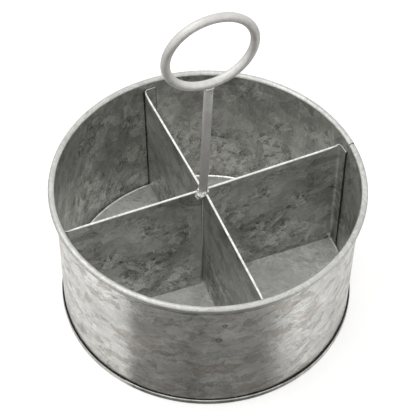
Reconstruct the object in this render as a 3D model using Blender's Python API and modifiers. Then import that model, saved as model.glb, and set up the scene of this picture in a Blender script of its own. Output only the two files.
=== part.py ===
# Round cutlery caddy in galvanised sheet steel: a straight wall with a wired rim, a recessed floor
# seamed to the wall, two bent dividers that make four compartments, and a rod handle with a ring.
# Lengths are metres, +Z is up, and the origin is the middle of the foot on the resting plane.
# The dividers' arms lie nearly along X and Y.

import math

import bmesh
import bpy
from mathutils import Vector

MM = 0.001

# Body
RIM_OUTER_DIAMETER = 229.0 * MM
BODY_HEIGHT = 119.0 * MM
SHEET = 0.5 * MM
GAP = 0.3 * MM

# Wired rim
RIM_WIRE_DIAMETER = 3.4 * MM
RIM_CURL_DEGREES = 300.0
RIM_CURL_STEPS = 10

# Floor and foot seam
FLOOR_HEIGHT = 3.0 * MM
FLOOR_EDGE_BEND = 1.0 * MM
SEAM_HEIGHT = 4.15 * MM
SEAM_BEND = 0.5 * MM

# Upright seam of the wall
SEAM_DEGREES = -4.5
SLIT_WIDTH = 0.5 * MM
NOTCH_WIDTH = 1.6 * MM
NOTCH_DEPTH = 1.1 * MM
LAP_WIDTH = 8.0 * MM
CUT_OVERRUN = 1.0 * MM

# Dividers: an arm's place is its distance from the middle of the body, clockwise seen from above.
# The sheets are a little twisted, so each arm has one line at its top and one at its foot.
DIVIDER_TOP = 109.6 * MM
LEFT_TOP_DEGREES = 178.77
LEFT_TOP_PLACE = 1.07 * MM
LEFT_FOOT_DEGREES = 176.0
LEFT_FOOT_PLACE = -2.35 * MM
BACK_TOP_DEGREES = 90.85
BACK_TOP_PLACE = -2.96 * MM
BACK_FOOT_DEGREES = 88.9
BACK_FOOT_PLACE = -4.45 * MM
BACK_END_RISE = 2.6 * MM
RIGHT_TOP_DEGREES = -0.23
RIGHT_TOP_PLACE = -2.24 * MM
RIGHT_FOOT_DEGREES = -2.55
RIGHT_FOOT_PLACE = -4.05 * MM
FRONT_TOP_DEGREES = 268.07
FRONT_TOP_PLACE = 3.12 * MM
FRONT_FOOT_DEGREES = 267.2
FRONT_FOOT_PLACE = 2.8 * MM
CORNER_BEND = 2.4 * MM
FLANGE_WIDTH = 9.0 * MM
FLANGE_BEND = 1.8 * MM
HEM_GAP = 0.5 * MM
HEM_DEPTH = 6.5 * MM
HEM_END_DEPTH = 2.0 * MM
HEM_TAPER = 7.0 * MM
HEM_RELIEF = 11.0 * MM
HEM_NOTCH = 0.8 * MM

# Handle
ROD_DIAMETER = 6.35 * MM
OVERALL_HEIGHT = 279.0 * MM
RING_OUTER_WIDTH = 70.2 * MM
RING_OUTER_HEIGHT = 64.0 * MM
STEM_X = -3.8 * MM
STEM_Y = 0.35 * MM
STEM_TUCK = 1.6 * MM
STEM_COPE = 1.2 * MM
LEAN_TO_RIGHT = math.radians(1.15)
LEAN_TO_FRONT = math.radians(1.0)

# Weld at the foot of the stem: places count from the stem's middle at the dividers' top edges
FOOT_WELD_RADII = (3.8 * MM, 3.2 * MM, 4.2 * MM)
FOOT_WELD_PLACE = (-3.7 * MM, -2.6 * MM, -0.6 * MM)
FOOT_RUN_RADII = (1.9 * MM, 1.7 * MM, 2.6 * MM)
FOOT_RUN_PLACE = (0.0 * MM, -3.4 * MM, 0.5 * MM)
FOOT_COLLAR_RADII = (4.6 * MM, 4.6 * MM, 1.8 * MM)
FOOT_COLLAR_PLACE = (0.0 * MM, 0.0 * MM, 0.3 * MM)

# Weld under the ring: places count from the lowest line of the ring's rod
RING_WELD_RADII = (5.0 * MM, 4.3 * MM, 2.6 * MM)
RING_DROP_RADIUS = 1.4 * MM
RING_DROP_PLACE = (0.5 * MM, -3.4 * MM, -1.9 * MM)

# Fineness of the round shapes
ROUND_STEPS = 64
BEND_STEPS = 2
EDGE_STEPS = 3
CROSS_STEPS = 6
FOLD_STEPS = 4
STEM_SIDES = 24
WIRE_SIDES = 8
RING_STEPS = 12
RING_BEVEL_STEPS = 4
WELD_SIDES = 20
WELD_RINGS = 12
MERGE_DISTANCE = 0.01 * MM

# Sizes that follow from the ones above
HALF_SHEET = SHEET / 2
STEM_RADIUS = ROD_DIAMETER / 2
WIRE_RADIUS = RIM_WIRE_DIAMETER / 2
BEAD_RADIUS = WIRE_RADIUS + GAP + SHEET
BEAD_MID_RADIUS = BEAD_RADIUS - HALF_SHEET
BEAD_PATH_RADIUS = RIM_OUTER_DIAMETER / 2 - BEAD_RADIUS
BEAD_HEIGHT = BODY_HEIGHT - BEAD_RADIUS
WALL_MID_RADIUS = BEAD_PATH_RADIUS - BEAD_MID_RADIUS
WALL_INNER_RADIUS = WALL_MID_RADIUS - HALF_SHEET
WALL_OUTER_RADIUS = WALL_MID_RADIUS + HALF_SHEET
FACET_SHARE = math.cos(math.pi / ROUND_STEPS)
HOOK_BEND = (SHEET + GAP) / 2
HOOK_MID_RADIUS = WALL_MID_RADIUS + 2 * HOOK_BEND
HOOK_TOP = SEAM_HEIGHT - SHEET - GAP
PAN_WALL_RADIUS = WALL_INNER_RADIUS - GAP - HALF_SHEET
PAN_OUTER_RADIUS = HOOK_MID_RADIUS + SHEET + GAP
DIVIDER_BOTTOM = FLOOR_HEIGHT + GAP
HEM_FOLD = (SHEET + HEM_GAP) / 2
KNEE_HEIGHT = DIVIDER_TOP - HALF_SHEET - HEM_FOLD
PIVOT_HEIGHT = DIVIDER_TOP - STEM_TUCK
RING_HALF_WIDTH = RING_OUTER_WIDTH / 2 - STEM_RADIUS
RING_HALF_HEIGHT = RING_OUTER_HEIGHT / 2 - STEM_RADIUS
RING_CENTRE = OVERALL_HEIGHT - RING_OUTER_HEIGHT / 2 - PIVOT_HEIGHT
RING_UNDERSIDE = RING_CENTRE - RING_HALF_HEIGHT - STEM_RADIUS

# Colours of the zinc finishes
SHEET_COLOUR = (0.36, 0.36, 0.34, 1.0)
FLOOR_COLOUR = (0.45, 0.45, 0.43, 1.0)
EDGE_COLOUR = (0.55, 0.55, 0.52, 1.0)
ROD_COLOUR = (0.56, 0.54, 0.52, 1.0)
WELD_COLOUR = (0.30, 0.30, 0.29, 1.0)


def new_collection(name):
    collection = bpy.data.collections.new(name)
    bpy.context.scene.collection.children.link(collection)
    return collection


def new_material(name, colour, roughness):
    material = bpy.data.materials.new(name)
    material.use_nodes = True
    shader = material.node_tree.nodes["Principled BSDF"]
    shader.inputs["Base Color"].default_value = colour
    shader.inputs["Metallic"].default_value = 1.0
    shader.inputs["Roughness"].default_value = roughness
    return material


def add_object(name, data, collection, material=None):
    item = bpy.data.objects.new(name, data)
    collection.objects.link(item)
    if material:
        data.materials.append(material)
    return item


def adopt(item, name, collection, material=None):
    # takes over an object that a primitive operator has just made
    item.name = name
    item.data.name = name
    for home in list(item.users_collection):
        home.objects.unlink(item)
    collection.objects.link(item)
    if material:
        item.data.materials.append(material)
    item.data.shade_smooth()
    item.data.set_sharp_from_angle(angle=math.radians(40))
    return item


def mark_cutter(item):
    item.hide_render = True
    item.display_type = "WIRE"
    return item


def arc(centre, radius, start, end, steps):
    # points of an arc in a plane, with its angles in degrees
    points = []
    for i in range(steps + 1):
        angle = math.radians(start + (end - start) * i / steps)
        points.append((centre[0] + radius * math.cos(angle), centre[1] + radius * math.sin(angle)))
    return points


def chain_mesh(name, points):
    # open chain of edges in the XZ plane, to be turned round Z
    mesh = bpy.data.meshes.new(name)
    bm = bmesh.new()
    verts = [bm.verts.new((x, 0, z)) for x, z in points]
    for a, b in zip(verts, verts[1:]):
        bm.edges.new((a, b))
    bm.to_mesh(mesh)
    bm.free()
    return mesh


def add_screw(item, angle, steps):
    screw = item.modifiers.new("Turn", "SCREW")
    screw.angle = angle
    screw.steps = steps
    screw.render_steps = steps
    screw.use_merge_vertices = True
    screw.merge_threshold = MERGE_DISTANCE
    screw.use_smooth_shade = True
    return screw


def add_solidify(item, thickness):
    solidify = item.modifiers.new("Sheet", "SOLIDIFY")
    solidify.thickness = thickness
    solidify.offset = 0
    solidify.use_even_offset = True
    return solidify


def add_boolean(item, other, operation):
    boolean = item.modifiers.new(operation.title(), "BOOLEAN")
    boolean.operation = operation
    boolean.object = other
    return boolean


def turned_sheet(name, points, collection, material):
    item = add_object(name, chain_mesh(name, points), collection, material)
    add_screw(item, math.tau, ROUND_STEPS)
    add_solidify(item, SHEET)
    return item


def cutter_box(name, low, high, turn, collection):
    # box between two corners, then turned round Z
    size = Vector(high) - Vector(low)
    mesh = bpy.data.meshes.new(name)
    bm = bmesh.new()
    bmesh.ops.create_cube(bm, size=1)
    bmesh.ops.scale(bm, vec=size, verts=bm.verts)
    bmesh.ops.translate(bm, vec=(Vector(low) + Vector(high)) / 2, verts=bm.verts)
    bm.to_mesh(mesh)
    bm.free()
    box = add_object(name, mesh, collection)
    box.rotation_euler = (0, 0, turn)
    return mark_cutter(box)


def make_side_wall(parts, cutters, material):
    hook_centre = (WALL_MID_RADIUS + HOOK_BEND, SHEET + GAP + HALF_SHEET + HOOK_BEND)
    bead_centre = (BEAD_PATH_RADIUS, BEAD_HEIGHT)
    points = [(HOOK_MID_RADIUS, HOOK_TOP)]
    points += arc(hook_centre, HOOK_BEND, 0, -180, 2 * BEND_STEPS)
    points += arc(bead_centre, BEAD_MID_RADIUS, 180, 180 - RIM_CURL_DEGREES, RIM_CURL_STEPS)
    wall = turned_sheet("side_wall", points, parts, material)

    # the wall's two ends lap on the outside between the foot seam and the rim
    seam_turn = math.radians(SEAM_DEGREES)
    lap_radius = (WALL_MID_RADIUS + WALL_OUTER_RADIUS + SHEET) / 2
    lap_low = SEAM_HEIGHT + GAP
    lap_high = BEAD_HEIGHT - BEAD_RADIUS - GAP
    lap_mesh = chain_mesh("wall_lap", [(lap_radius, lap_low), (lap_radius, lap_high)])
    lap = mark_cutter(add_object("wall_lap", lap_mesh, cutters))
    add_screw(lap, LAP_WIDTH / WALL_OUTER_RADIUS, BEND_STEPS)
    add_solidify(lap, WALL_OUTER_RADIUS + SHEET - WALL_MID_RADIUS)
    lap.rotation_euler = (0, 0, seam_turn)
    add_boolean(wall, lap, "UNION")

    # the curl's ends meet at a slit, with a nick on the outer side
    slit_low = (WALL_INNER_RADIUS - CUT_OVERRUN, -SLIT_WIDTH / 2, BEAD_HEIGHT - BEAD_RADIUS)
    slit_high = (RIM_OUTER_DIAMETER / 2 + CUT_OVERRUN, SLIT_WIDTH / 2, BODY_HEIGHT + CUT_OVERRUN)
    slit = cutter_box("rim_slit", slit_low, slit_high, seam_turn, cutters)
    add_boolean(wall, slit, "DIFFERENCE")
    notch_low = (RIM_OUTER_DIAMETER / 2 - NOTCH_DEPTH, -NOTCH_WIDTH / 2, BEAD_HEIGHT - BEAD_RADIUS)
    notch_high = (RIM_OUTER_DIAMETER / 2 + CUT_OVERRUN, NOTCH_WIDTH / 2, BODY_HEIGHT + CUT_OVERRUN)
    notch = cutter_box("rim_notch", notch_low, notch_high, seam_turn, cutters)
    add_boolean(wall, notch, "DIFFERENCE")
    return wall


def make_rim_wire(parts, material):
    bpy.ops.mesh.primitive_torus_add(
        major_segments=ROUND_STEPS, minor_segments=WIRE_SIDES, location=(0, 0, BEAD_HEIGHT),
        major_radius=BEAD_PATH_RADIUS, minor_radius=WIRE_RADIUS)
    return adopt(bpy.context.object, "rim_wire", parts, material)


def make_base_pan(parts, material):
    floor_mid = FLOOR_HEIGHT - HALF_SHEET
    inner_corner = (PAN_WALL_RADIUS + SEAM_BEND, HALF_SHEET + SEAM_BEND)
    outer_corner = (PAN_OUTER_RADIUS - SEAM_BEND, HALF_SHEET + SEAM_BEND)
    upper_corner = (PAN_OUTER_RADIUS - SEAM_BEND, SEAM_HEIGHT - HALF_SHEET - SEAM_BEND)
    floor_corner = (PAN_WALL_RADIUS - FLOOR_EDGE_BEND, floor_mid - FLOOR_EDGE_BEND)
    points = [(0, floor_mid)]
    points += arc(floor_corner, FLOOR_EDGE_BEND, 90, 0, EDGE_STEPS)
    points += arc(inner_corner, SEAM_BEND, 180, 270, BEND_STEPS)
    points += arc(outer_corner, SEAM_BEND, 270, 360, BEND_STEPS)
    points += arc(upper_corner, SEAM_BEND, 0, 90, BEND_STEPS)
    points.append((WALL_OUTER_RADIUS + GAP, SEAM_HEIGHT - HALF_SHEET))
    return turned_sheet("base_pan", points, parts, material)


def plan_direction(degrees):
    return Vector((math.cos(math.radians(degrees)), math.sin(math.radians(degrees))))


def rounded_corner(before, corner, after, radius, steps):
    # arc that joins two straight runs of a path
    inward = (before - corner).normalized()
    onward = (after - corner).normalized()
    half = inward.angle(onward) / 2
    centre = corner + (inward + onward).normalized() * (radius / math.sin(half))
    start = corner + inward * (radius / math.tan(half)) - centre
    end = corner + onward * (radius / math.tan(half)) - centre
    sweep = start.angle_signed(end)
    points = []
    for i in range(steps + 1):
        angle = -sweep * i / steps
        x = start.x * math.cos(angle) - start.y * math.sin(angle)
        y = start.x * math.sin(angle) + start.y * math.cos(angle)
        points.append(centre + Vector((x, y)))
    return points


def arm_end(outward, place):
    # mid-plane corner and free edge of an arm's flange, which turns clockwise seen from above
    clockwise = Vector((outward.y, -outward.x))
    reach = WALL_INNER_RADIUS * FACET_SHARE - GAP
    distance = math.sqrt(reach ** 2 - (place + FLANGE_WIDTH) ** 2) - HALF_SHEET
    corner = outward * distance + clockwise * place
    return corner, corner + clockwise * FLANGE_WIDTH


def lines_meet(place, along, other_place, other_along):
    # point where two lines of the plan cross
    spacing = other_place - place
    return place + along * (spacing.cross(other_along) / along.cross(other_along))


def divider_stations(first_degrees, first_place, second_degrees, second_place):
    # plan of one divider as points, each with the depth of its hem, which is zero at the ends
    first = plan_direction(first_degrees)
    second = plan_direction(second_degrees)
    first_corner, first_edge = arm_end(first, first_place)
    second_corner, second_edge = arm_end(second, second_place)
    cross = lines_meet(first_corner, first, second_corner, second)
    hem_marks = [(HEM_RELIEF, 0), (HEM_RELIEF + HEM_NOTCH, HEM_END_DEPTH), (HEM_RELIEF + HEM_TAPER, HEM_DEPTH)]
    stations = [(first_edge, 0)]
    for point in rounded_corner(first_edge, first_corner, cross, FLANGE_BEND, FOLD_STEPS):
        stations.append((point, 0))
    for distance, depth in hem_marks:
        stations.append((first_corner - first * distance, depth))
    for point in rounded_corner(first_corner, cross, second_corner, CORNER_BEND, CROSS_STEPS):
        stations.append((point, HEM_DEPTH))
    for distance, depth in reversed(hem_marks):
        stations.append((second_corner - second * distance, depth))
    for point in rounded_corner(cross, second_corner, second_edge, FLANGE_BEND, FOLD_STEPS):
        stations.append((point, 0))
    stations.append((second_edge, 0))
    return stations


def side_steps(points):
    # step to the left of the path at each point, long enough to keep an even offset
    directions = [(b - a).normalized() for a, b in zip(points, points[1:])]
    directions = [directions[0]] + directions + [directions[-1]]
    steps = []
    for before, after in zip(directions, directions[1:]):
        mean = (before + after).normalized()
        steps.append(Vector((-mean.y, mean.x)) / mean.dot(after))
    return steps


def divider_column(foot, point, step, depth, rise):
    # the sheet at one station, with the fold of the hem
    column = [(0, KNEE_HEIGHT)]
    if depth:
        fold = arc((HEM_FOLD, KNEE_HEIGHT), HEM_FOLD, 180, 0, FOLD_STEPS)
        column += fold[1:]
        column.append((2 * HEM_FOLD, DIVIDER_TOP - depth))
    else:
        column.append((0, DIVIDER_TOP))
    places = [foot.to_3d() + Vector((0, 0, DIVIDER_BOTTOM))]
    places += [(point + step * aside).to_3d() + Vector((0, 0, height + rise)) for aside, height in column]
    return places


def sheet_object(name, columns, plain_rows, thickness, collection, material=None):
    # faces between neighbouring columns, where a short column meets only the plain part of a long one
    mesh = bpy.data.meshes.new(name)
    bm = bmesh.new()
    grid = [[bm.verts.new(place) for place in column] for column in columns]
    for near, far in zip(grid, grid[1:]):
        rows = len(near) - 1 if len(near) == len(far) else plain_rows
        for i in range(rows):
            bm.faces.new((near[i], far[i], far[i + 1], near[i + 1]))
    bm.to_mesh(mesh)
    bm.free()
    item = add_object(name, mesh, collection, material)
    add_solidify(item, thickness)
    return item


def make_divider(name, top_plan, foot_plan, end_rise, collection, material, stem_cutter):
    # the second arm's top edge rises evenly from the corner to the wall
    stations = divider_stations(*top_plan)
    feet = divider_stations(*foot_plan)
    steps = side_steps([point for point, depth in stations])
    outward = plan_direction(top_plan[2])
    columns = []
    for (point, depth), (foot, _), step in zip(stations, feet, steps):
        share = max(point.dot(outward) / WALL_INNER_RADIUS, 0)
        columns.append(divider_column(foot, point, step, depth, end_rise * share))
    divider = sheet_object(name, columns, 2, SHEET, collection, material)
    add_boolean(divider, stem_cutter, "DIFFERENCE")
    return divider


def make_divider_room(name, plan, collection):
    # the room that the top of a divider and its hem take up, with the gap all round
    stations = divider_stations(*plan)
    steps = side_steps([point for point, depth in stations])
    columns = []
    for (point, depth), step in zip(stations, steps):
        middle = (point + step * HEM_FOLD).to_3d()
        heights = (DIVIDER_TOP - 2 * HEM_DEPTH, DIVIDER_TOP + GAP)
        columns.append([middle + Vector((0, 0, height)) for height in heights])
    room = sheet_object(name, columns, 1, 2 * HEM_FOLD + SHEET + 2 * GAP, collection)
    return mark_cutter(room)


def ellipsoid(name, place, radii, collection, material=None):
    mesh = bpy.data.meshes.new(name)
    bm = bmesh.new()
    bmesh.ops.create_uvsphere(bm, u_segments=WELD_SIDES, v_segments=WELD_RINGS, radius=1)
    bmesh.ops.scale(bm, vec=radii, verts=bm.verts)
    bm.to_mesh(mesh)
    bm.free()
    mesh.shade_smooth()
    item = add_object(name, mesh, collection, material)
    item.location = place
    return item


def stem_cylinder(name, radius, low, high, collection, material=None):
    bpy.ops.mesh.primitive_cylinder_add(
        vertices=STEM_SIDES, radius=radius, depth=high - low, location=(0, 0, (low + high) / 2))
    return adopt(bpy.context.object, name, collection, material)


def ring_curve(name, rod_radius, collection, material=None):
    # oval of four points in the XZ plane, with handles that make quarter ellipses
    handle_share = 4 / 3 * (math.sqrt(2) - 1)
    curve = bpy.data.curves.new(name, "CURVE")
    curve.dimensions = "3D"
    curve.bevel_depth = rod_radius
    curve.bevel_resolution = RING_BEVEL_STEPS
    curve.resolution_u = RING_STEPS
    spline = curve.splines.new("BEZIER")
    spline.bezier_points.add(3)
    spline.use_cyclic_u = True
    for i, point in enumerate(spline.bezier_points):
        angle = i * math.pi / 2
        place = Vector((RING_HALF_WIDTH * math.cos(angle), 0, RING_HALF_HEIGHT * math.sin(angle)))
        along = Vector((-RING_HALF_WIDTH * math.sin(angle), 0, RING_HALF_HEIGHT * math.cos(angle)))
        point.handle_left_type = "FREE"
        point.handle_right_type = "FREE"
        point.co = place
        point.handle_left = place - along * handle_share
        point.handle_right = place + along * handle_share
    return add_object(name, curve, collection, material)


def make_ring_cutter(collection, axis):
    # the ring as a mesh, thicker by the gap, so that other pieces can be cut to it
    curve_item = ring_curve("ring_guide", STEM_RADIUS + GAP, collection)
    curve_item.parent = axis
    curve_item.location = (0, 0, RING_CENTRE)
    bpy.context.view_layer.update()
    depsgraph = bpy.context.evaluated_depsgraph_get()
    mesh = bpy.data.meshes.new_from_object(curve_item.evaluated_get(depsgraph))
    bm = bmesh.new()
    bm.from_mesh(mesh)
    bmesh.ops.remove_doubles(bm, verts=bm.verts, dist=MERGE_DISTANCE)
    bm.to_mesh(mesh)
    bm.free()
    cutter = mark_cutter(add_object("ring_cutter", mesh, collection))
    cutter.matrix_world = curve_item.matrix_world.copy()
    bpy.data.objects.remove(curve_item)
    return cutter


def make_handle(parts, cutters, rod_material, weld_material):
    axis = bpy.data.objects.new("handle_axis", None)
    cutters.objects.link(axis)
    axis.location = (STEM_X, STEM_Y, PIVOT_HEIGHT)
    axis.rotation_euler = (LEAN_TO_FRONT, LEAN_TO_RIGHT, 0)

    ring = ring_curve("handle_ring", STEM_RADIUS, parts, rod_material)
    ring.parent = axis
    ring.location = (0, 0, RING_CENTRE)
    ring_cutter = make_ring_cutter(cutters, axis)

    stem = stem_cylinder("handle_stem", STEM_RADIUS, 0, RING_UNDERSIDE + STEM_COPE, parts, rod_material)
    stem.parent = axis
    add_boolean(stem, ring_cutter, "DIFFERENCE")
    stem_cutter = stem_cylinder(
        "stem_cutter", STEM_RADIUS + GAP, -GAP, RING_UNDERSIDE + STEM_RADIUS, cutters)
    stem_cutter.parent = axis
    mark_cutter(stem_cutter)

    # fillet weld that joins the stem to the underside of the ring, with one drop at the front
    underside = Vector((0, 0, RING_UNDERSIDE))
    drop_radii = (RING_DROP_RADIUS, RING_DROP_RADIUS, RING_DROP_RADIUS)
    drop = mark_cutter(ellipsoid("ring_weld_drop", underside + Vector(RING_DROP_PLACE), drop_radii, cutters))
    drop.parent = axis
    weld = ellipsoid("ring_weld", underside, RING_WELD_RADII, parts, weld_material)
    weld.parent = axis
    add_boolean(weld, drop, "UNION")
    add_boolean(weld, stem_cutter, "DIFFERENCE")
    add_boolean(weld, ring_cutter, "DIFFERENCE")
    return stem_cutter


def make_foot_weld(parts, cutters, material, stem_cutter, top_plans):
    # collar round the stem's foot, with a lump and a short run towards the front
    top = Vector((STEM_X, STEM_Y, DIVIDER_TOP))
    weld = ellipsoid("foot_weld", top + Vector(FOOT_WELD_PLACE), FOOT_WELD_RADII, parts, material)
    run = ellipsoid("foot_weld_run", top + Vector(FOOT_RUN_PLACE), FOOT_RUN_RADII, cutters)
    collar = ellipsoid("foot_weld_collar", top + Vector(FOOT_COLLAR_PLACE), FOOT_COLLAR_RADII, cutters)
    add_boolean(weld, mark_cutter(run), "UNION")
    add_boolean(weld, mark_cutter(collar), "UNION")
    add_boolean(weld, stem_cutter, "DIFFERENCE")
    for name, plan in top_plans.items():
        add_boolean(weld, make_divider_room(name + "_room", plan, cutters), "DIFFERENCE")
    return weld


def main():
    for item in list(bpy.data.objects):
        bpy.data.objects.remove(item)
    parts = new_collection("cutlery_caddy")
    cutters = new_collection("cutters")
    wall_zinc = new_material("wall_zinc", SHEET_COLOUR, 0.42)
    floor_zinc = new_material("floor_zinc", FLOOR_COLOUR, 0.45)
    divider_zinc = new_material("divider_zinc", EDGE_COLOUR, 0.45)
    wire_steel = new_material("wire_steel", EDGE_COLOUR, 0.5)
    rod_zinc = new_material("rod_zinc", ROD_COLOUR, 0.5)
    weld_metal = new_material("weld_metal", WELD_COLOUR, 0.55)

    top_plans = {
        "divider_back_left": (LEFT_TOP_DEGREES, LEFT_TOP_PLACE, BACK_TOP_DEGREES, BACK_TOP_PLACE),
        "divider_front_right": (RIGHT_TOP_DEGREES, RIGHT_TOP_PLACE, FRONT_TOP_DEGREES, FRONT_TOP_PLACE),
    }
    foot_plans = {
        "divider_back_left": (LEFT_FOOT_DEGREES, LEFT_FOOT_PLACE, BACK_FOOT_DEGREES, BACK_FOOT_PLACE),
        "divider_front_right": (RIGHT_FOOT_DEGREES, RIGHT_FOOT_PLACE, FRONT_FOOT_DEGREES, FRONT_FOOT_PLACE),
    }
    end_rises = {"divider_back_left": BACK_END_RISE, "divider_front_right": 0}

    make_side_wall(parts, cutters, wall_zinc)
    make_rim_wire(parts, wire_steel)
    make_base_pan(parts, floor_zinc)
    stem_cutter = make_handle(parts, cutters, rod_zinc, weld_metal)
    for name, plan in top_plans.items():
        make_divider(name, plan, foot_plans[name], end_rises[name], parts, divider_zinc, stem_cutter)
    make_foot_weld(parts, cutters, weld_metal, stem_cutter, top_plans)


main()
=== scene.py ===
import math

import bmesh
import bpy
from mathutils import Euler, Matrix, Vector, noise


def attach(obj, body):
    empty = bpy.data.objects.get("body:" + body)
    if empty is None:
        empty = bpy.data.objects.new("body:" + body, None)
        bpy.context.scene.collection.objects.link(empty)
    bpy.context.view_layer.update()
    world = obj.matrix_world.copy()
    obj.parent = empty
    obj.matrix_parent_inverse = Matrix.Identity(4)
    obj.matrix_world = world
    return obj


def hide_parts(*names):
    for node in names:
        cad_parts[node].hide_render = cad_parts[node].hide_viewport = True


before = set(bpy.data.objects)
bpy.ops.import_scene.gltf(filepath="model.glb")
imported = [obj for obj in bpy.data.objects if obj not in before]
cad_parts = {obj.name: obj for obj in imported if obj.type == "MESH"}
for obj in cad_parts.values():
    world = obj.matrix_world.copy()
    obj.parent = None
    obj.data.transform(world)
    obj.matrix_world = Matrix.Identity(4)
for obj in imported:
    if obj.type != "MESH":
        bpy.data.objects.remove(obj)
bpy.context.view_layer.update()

# Mesh code works in millimetres and scales each mesh to metres; finishes work in metres.
mm = 0.001
# radius at which the flat map of a turned sheet is true
mapRadius = 110


def newCollection(name):
    made = bpy.data.collections.new(name)
    bpy.context.scene.collection.children.link(made)
    return made


caddyParts = newCollection("caddy_parts")
studio = newCollection("studio")


def putIn(collection, name, data):
    item = bpy.data.objects.new(name, data)
    collection.objects.link(item)
    return item


def meshItem(collection, name, shape):
    # takes a bmesh in millimetres and gives an object in metres
    bmesh.ops.scale(shape, vec=(mm, mm, mm), verts=shape.verts)
    mesh = bpy.data.meshes.new(name)
    shape.to_mesh(mesh)
    shape.free()
    return putIn(collection, name, mesh)


def settle(item):
    # applies all modifiers
    bpy.context.view_layer.update()
    graph = bpy.context.evaluated_depsgraph_get()
    mesh = bpy.data.meshes.new_from_object(item.evaluated_get(graph))
    item.modifiers.clear()
    item.data = mesh
    return item


def thicken(item, thickness, backFinish=0, edgeFinish=0):
    sheet = item.modifiers.new("sheet", "SOLIDIFY")
    sheet.thickness = thickness * mm
    sheet.offset = 0
    sheet.use_even_offset = True
    sheet.material_offset = backFinish
    sheet.material_offset_rim = edgeFinish
    return item


def softenEdges(item, width, segments=2, angle=50):
    soft = item.modifiers.new("soft", "BEVEL")
    soft.width = width * mm
    soft.segments = segments
    soft.limit_method = "ANGLE"
    soft.angle_limit = math.radians(angle)
    soft.harden_normals = False
    return item


def smoothShade(item, angle=40):
    item.data.shade_smooth()
    item.data.set_sharp_from_angle(angle=math.radians(angle))
    return item


def coat(item, *finishNames):
    # finishes go on before the modifiers, which pick them for the back and the edges of a sheet
    for finishName in finishNames:
        item.data.materials.append(finishes[finishName])
    return item


def dress(item, slotName, *nodes):
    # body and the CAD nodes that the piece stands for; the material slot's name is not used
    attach(item, "root")
    if nodes:
        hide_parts(*nodes)
    return item


def arc(centre, radius, start, end, steps):
    points = []
    for i in range(steps + 1):
        angle = math.radians(start + (end - start) * i / steps)
        points.append((centre[0] + radius * math.cos(angle), centre[1] + radius * math.sin(angle)))
    return points


def evenRun(start, end, step):
    # points between two ends, both left out
    count = max(1, round(math.dist(start, end) / step))
    return [(start[0] + (end[0] - start[0]) * i / count, start[1] + (end[1] - start[1]) * i / count)
            for i in range(1, count)]


def turnFrom(start, angle):
    # the angle as seen from the start, between minus and plus half a turn
    return (angle - start + math.pi) % math.tau - math.pi


def mapFace(face, mapLayer, places):
    # places on the flat sheet in millimetres, in the order of the face's corners
    for loop, (u, v) in zip(face.loops, places):
        loop[mapLayer].uv = (u * mm, v * mm)


def turnSheet(shape, profile, angles, closed, leaveOut=None, shift=None):
    # grid of the profile turned round Z, with a map of the flat sheet in metres
    mapLayer = shape.loops.layers.uv.new("sheet")
    lengths = [0.0]
    for a, b in zip(profile, profile[1:]):
        lengths.append(lengths[-1] + math.dist(a, b))
    grid = []
    for angle in angles:
        column = []
        for radius, height in profile:
            r, z = shift(radius, height, angle) if shift else (radius, height)
            column.append(shape.verts.new((r * math.cos(angle), r * math.sin(angle), z)))
        grid.append(column)
    count = len(angles)
    for i in range(count if closed else count - 1):
        j = (i + 1) % count
        start = angles[i]
        end = angles[j] if j > i else angles[j] + math.tau
        for k in range(len(profile) - 1):
            if leaveOut and leaveOut((start + end) / 2, profile[k], profile[k + 1]):
                continue
            face = shape.faces.new((grid[i][k], grid[j][k], grid[j][k + 1], grid[i][k + 1]))
            corners = ((start, k), (end, k), (end, k + 1), (start, k + 1))
            mapFace(face, mapLayer, [(angle * mapRadius, lengths[row]) for angle, row in corners])
    return grid


def startFinish(name):
    finish = bpy.data.materials.new(name)
    finish.use_nodes = True
    tree = finish.node_tree
    shader = tree.nodes["Principled BSDF"]
    return finish, tree, shader


def addNode(tree, kind, inputs=None, **settings):
    # an input is another node's socket or a value; a colour may go without its alpha
    node = tree.nodes.new(kind)
    for name, value in settings.items():
        setattr(node, name, value)
    for socket, value in (inputs or {}).items():
        entry = node.inputs[socket]
        if isinstance(value, bpy.types.NodeSocket):
            tree.links.new(value, entry)
        elif entry.type == "RGBA" and len(value) == 3:
            entry.default_value = (*value, 1)
        else:
            entry.default_value = value
    return node


def blendColours(tree, share, first, second, mode="MIX"):
    # inputs 0, 6 and 7 are the share and the two colours, and output 2 is the blend
    colours = {0: share, 6: first, 7: second}
    return addNode(tree, "ShaderNodeMix", colours, data_type="RGBA", blend_type=mode).outputs[2]


def rangeOf(tree, value, low, high, newLow, newHigh, smooth=True):
    ends = {"Value": value, "From Min": low, "From Max": high, "To Min": newLow, "To Max": newHigh}
    kind = "SMOOTHSTEP" if smooth else "LINEAR"
    return addNode(tree, "ShaderNodeMapRange", ends, interpolation_type=kind).outputs["Result"]


def mathOf(tree, operation, first, second=0.0):
    return addNode(tree, "ShaderNodeMath", {0: first, 1: second}, operation=operation).outputs[0]


def stretched(tree, place, along, across):
    scale = (along, across, along)
    return addNode(tree, "ShaderNodeMapping", {"Vector": place, "Scale": scale}).outputs["Vector"]


def noiseOf(tree, place, scale, detail=4.0, roughness=0.6, distortion=0.0, output="Fac"):
    settings = {"Vector": place, "Scale": scale, "Detail": detail, "Roughness": roughness,
                "Distortion": distortion}
    return addNode(tree, "ShaderNodeTexNoise", settings).outputs[output]


def times(tree, *values):
    product = values[0]
    for value in values[1:]:
        product = mathOf(tree, "MULTIPLY", product, value)
    return product


def plus(tree, *values):
    total = values[0]
    for value in values[1:]:
        total = mathOf(tree, "ADD", total, value)
    return total


def vectorMath(tree, operation, first, second=(0, 0, 0), output="Vector"):
    return addNode(tree, "ShaderNodeVectorMath", {0: first, 1: second}, operation=operation).outputs[output]


def axisOf(tree, place, axis):
    return addNode(tree, "ShaderNodeSeparateXYZ", {"Vector": place}).outputs[axis]


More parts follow.
